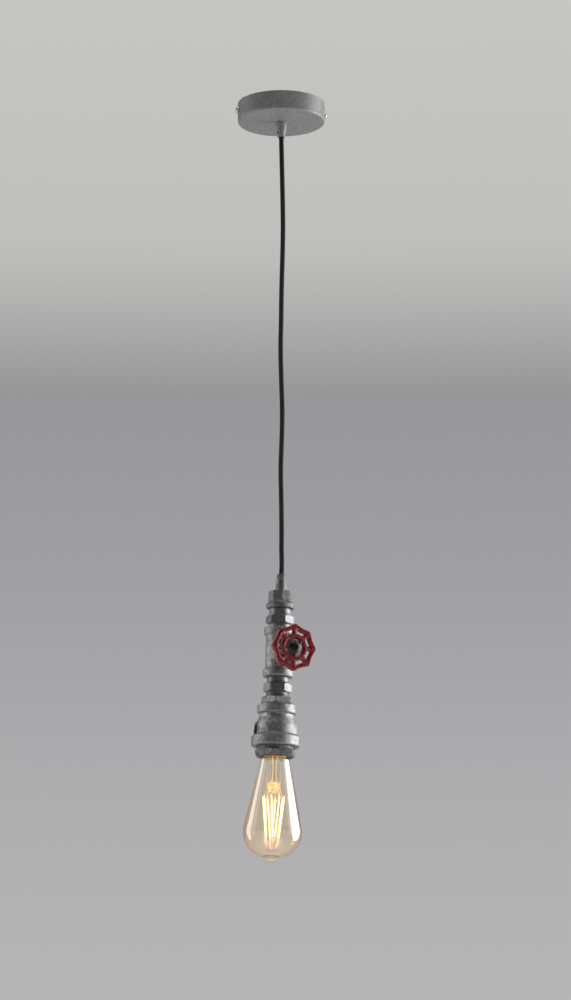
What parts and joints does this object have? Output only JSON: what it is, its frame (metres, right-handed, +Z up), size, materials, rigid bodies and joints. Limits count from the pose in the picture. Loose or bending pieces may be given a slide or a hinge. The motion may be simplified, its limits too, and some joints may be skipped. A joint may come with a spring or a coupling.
{
  "type": "pendant lamp",
  "caption": "Pendant lamp of galvanised pipe fittings with a red valve handwheel and an amber filament-style screw bulb, hung on a cloth-covered cord from a round ceiling cup.",
  "frame": {"origin": "on the ceiling, at the cup's centre, in the plane of the bracket's upper face", "axes": "+Z up out of the ceiling side, the lamp hanging towards -Z; X along the bracket, from one side screw to the other; -Y towards the viewer, with the handwheel at the front"},
  "size_m": [0.104, 0.098, 0.8653],
  "materials": {
    "canopy_metal": "satin",
    "galvanised": "satin",
    "plated_steel": "satin",
    "dark_steel": "satin",
    "red_enamel": "gloss",
    "cord_cloth": "matte",
    "core_insulation": "satin",
    "terminal_plastic": "satin",
    "holder_plastic": "gloss",
    "insert_ceramic": "satin",
    "brass": "satin",
    "solder": "satin",
    "amber_glass": "polished",
    "clear_glass": "polished",
    "black_glass": "gloss",
    "driver_board": "satin",
    "filament_coat": "matte",
    "support_wire": "satin"
  },
  "bodies": {
    "ceiling": {"ceiling_bracket": "plated_steel", "canopy_cup": "canopy_metal", "canopy_side_screws": "plated_steel", "canopy_cord_grip": "canopy_metal", "canopy_grip_screw": "dark_steel", "canopy_grip_washer": "plated_steel", "canopy_grip_nut": "plated_steel", "terminal_block": "terminal_plastic", "earth_screw": "brass", "canopy_cores": "core_insulation", "cord_in_canopy": "cord_cloth"},
    "cord_head": {"cord_upper": "cord_cloth"},
    "pendant": {"cord_main": "cord_cloth", "cord_tail": "cord_cloth", "fixture_cord_grip": "galvanised", "fixture_grip_screw": "dark_steel", "fixture_grip_nut": "plated_steel", "octagon_cap": "galvanised", "upper_nipple": "galvanised", "valve_tee": "galvanised", "lower_nipple": "galvanised", "reducing_bush": "galvanised", "big_tee": "galvanised", "mouth_bush": "galvanised", "holder_tube": "plated_steel", "holder_nuts": "plated_steel", "lampholder_cap": "holder_plastic", "lampholder_insert": "insert_ceramic", "lampholder_skirt": "brass", "threaded_shell": "brass", "centre_contact": "brass", "shell_contact": "brass", "holder_terminals": "brass", "branch_plug": "galvanised", "gland_nut": "plated_steel"},
    "wheel": {"spindle": "plated_steel", "handwheel": "red_enamel", "wheel_washer": "dark_steel", "wheel_screw": "dark_steel"},
    "bulb_foot": {"bulb_contact": "solder"},
    "bulb": {"bulb_glass": "amber_glass", "bulb_cap": "brass", "bulb_insulator": "black_glass", "bulb_driver": "driver_board", "glass_stem": "clear_glass", "filaments": "filament_coat", "filament_supports": "support_wire"}
  },
  "joints": [
    {"name": "swing_sideways", "type": "hinge", "parent": "ceiling", "child": "cord_head", "pos_m": [0, 0, -0.0415], "axis": [0, 1, 0], "range_deg": [-25, 25]},
    {"name": "swing_forward", "type": "hinge", "parent": "cord_head", "child": "pendant", "pos_m": [0.00115, -0.001, -0.1015], "axis": [1, 0, 0], "range_deg": [-25, 25]},
    {"name": "handwheel_turn", "type": "hinge", "parent": "pendant", "child": "wheel", "pos_m": [0.00711, -0.03458, -0.63667], "axis": [0.2294, -0.9721, -0.0491], "continuous": true},
    {"name": "bulb_travel", "type": "slide", "parent": "pendant", "child": "bulb_foot", "axis": [-0.0258, 0.0443, -0.9987], "range_m": [0, 0.0128]},
    {"name": "bulb_unscrew", "type": "hinge", "parent": "bulb_foot", "child": "bulb", "pos_m": [-0.0046, 0.00836, -0.73725], "axis": [-0.0258, 0.0443, -0.9987], "range_deg": [0, 1260]}
  ],
  "couplings": [
    {"joint": "bulb_travel", "follows": "bulb_unscrew", "m_per_rad": 0.00057757}
  ]
}
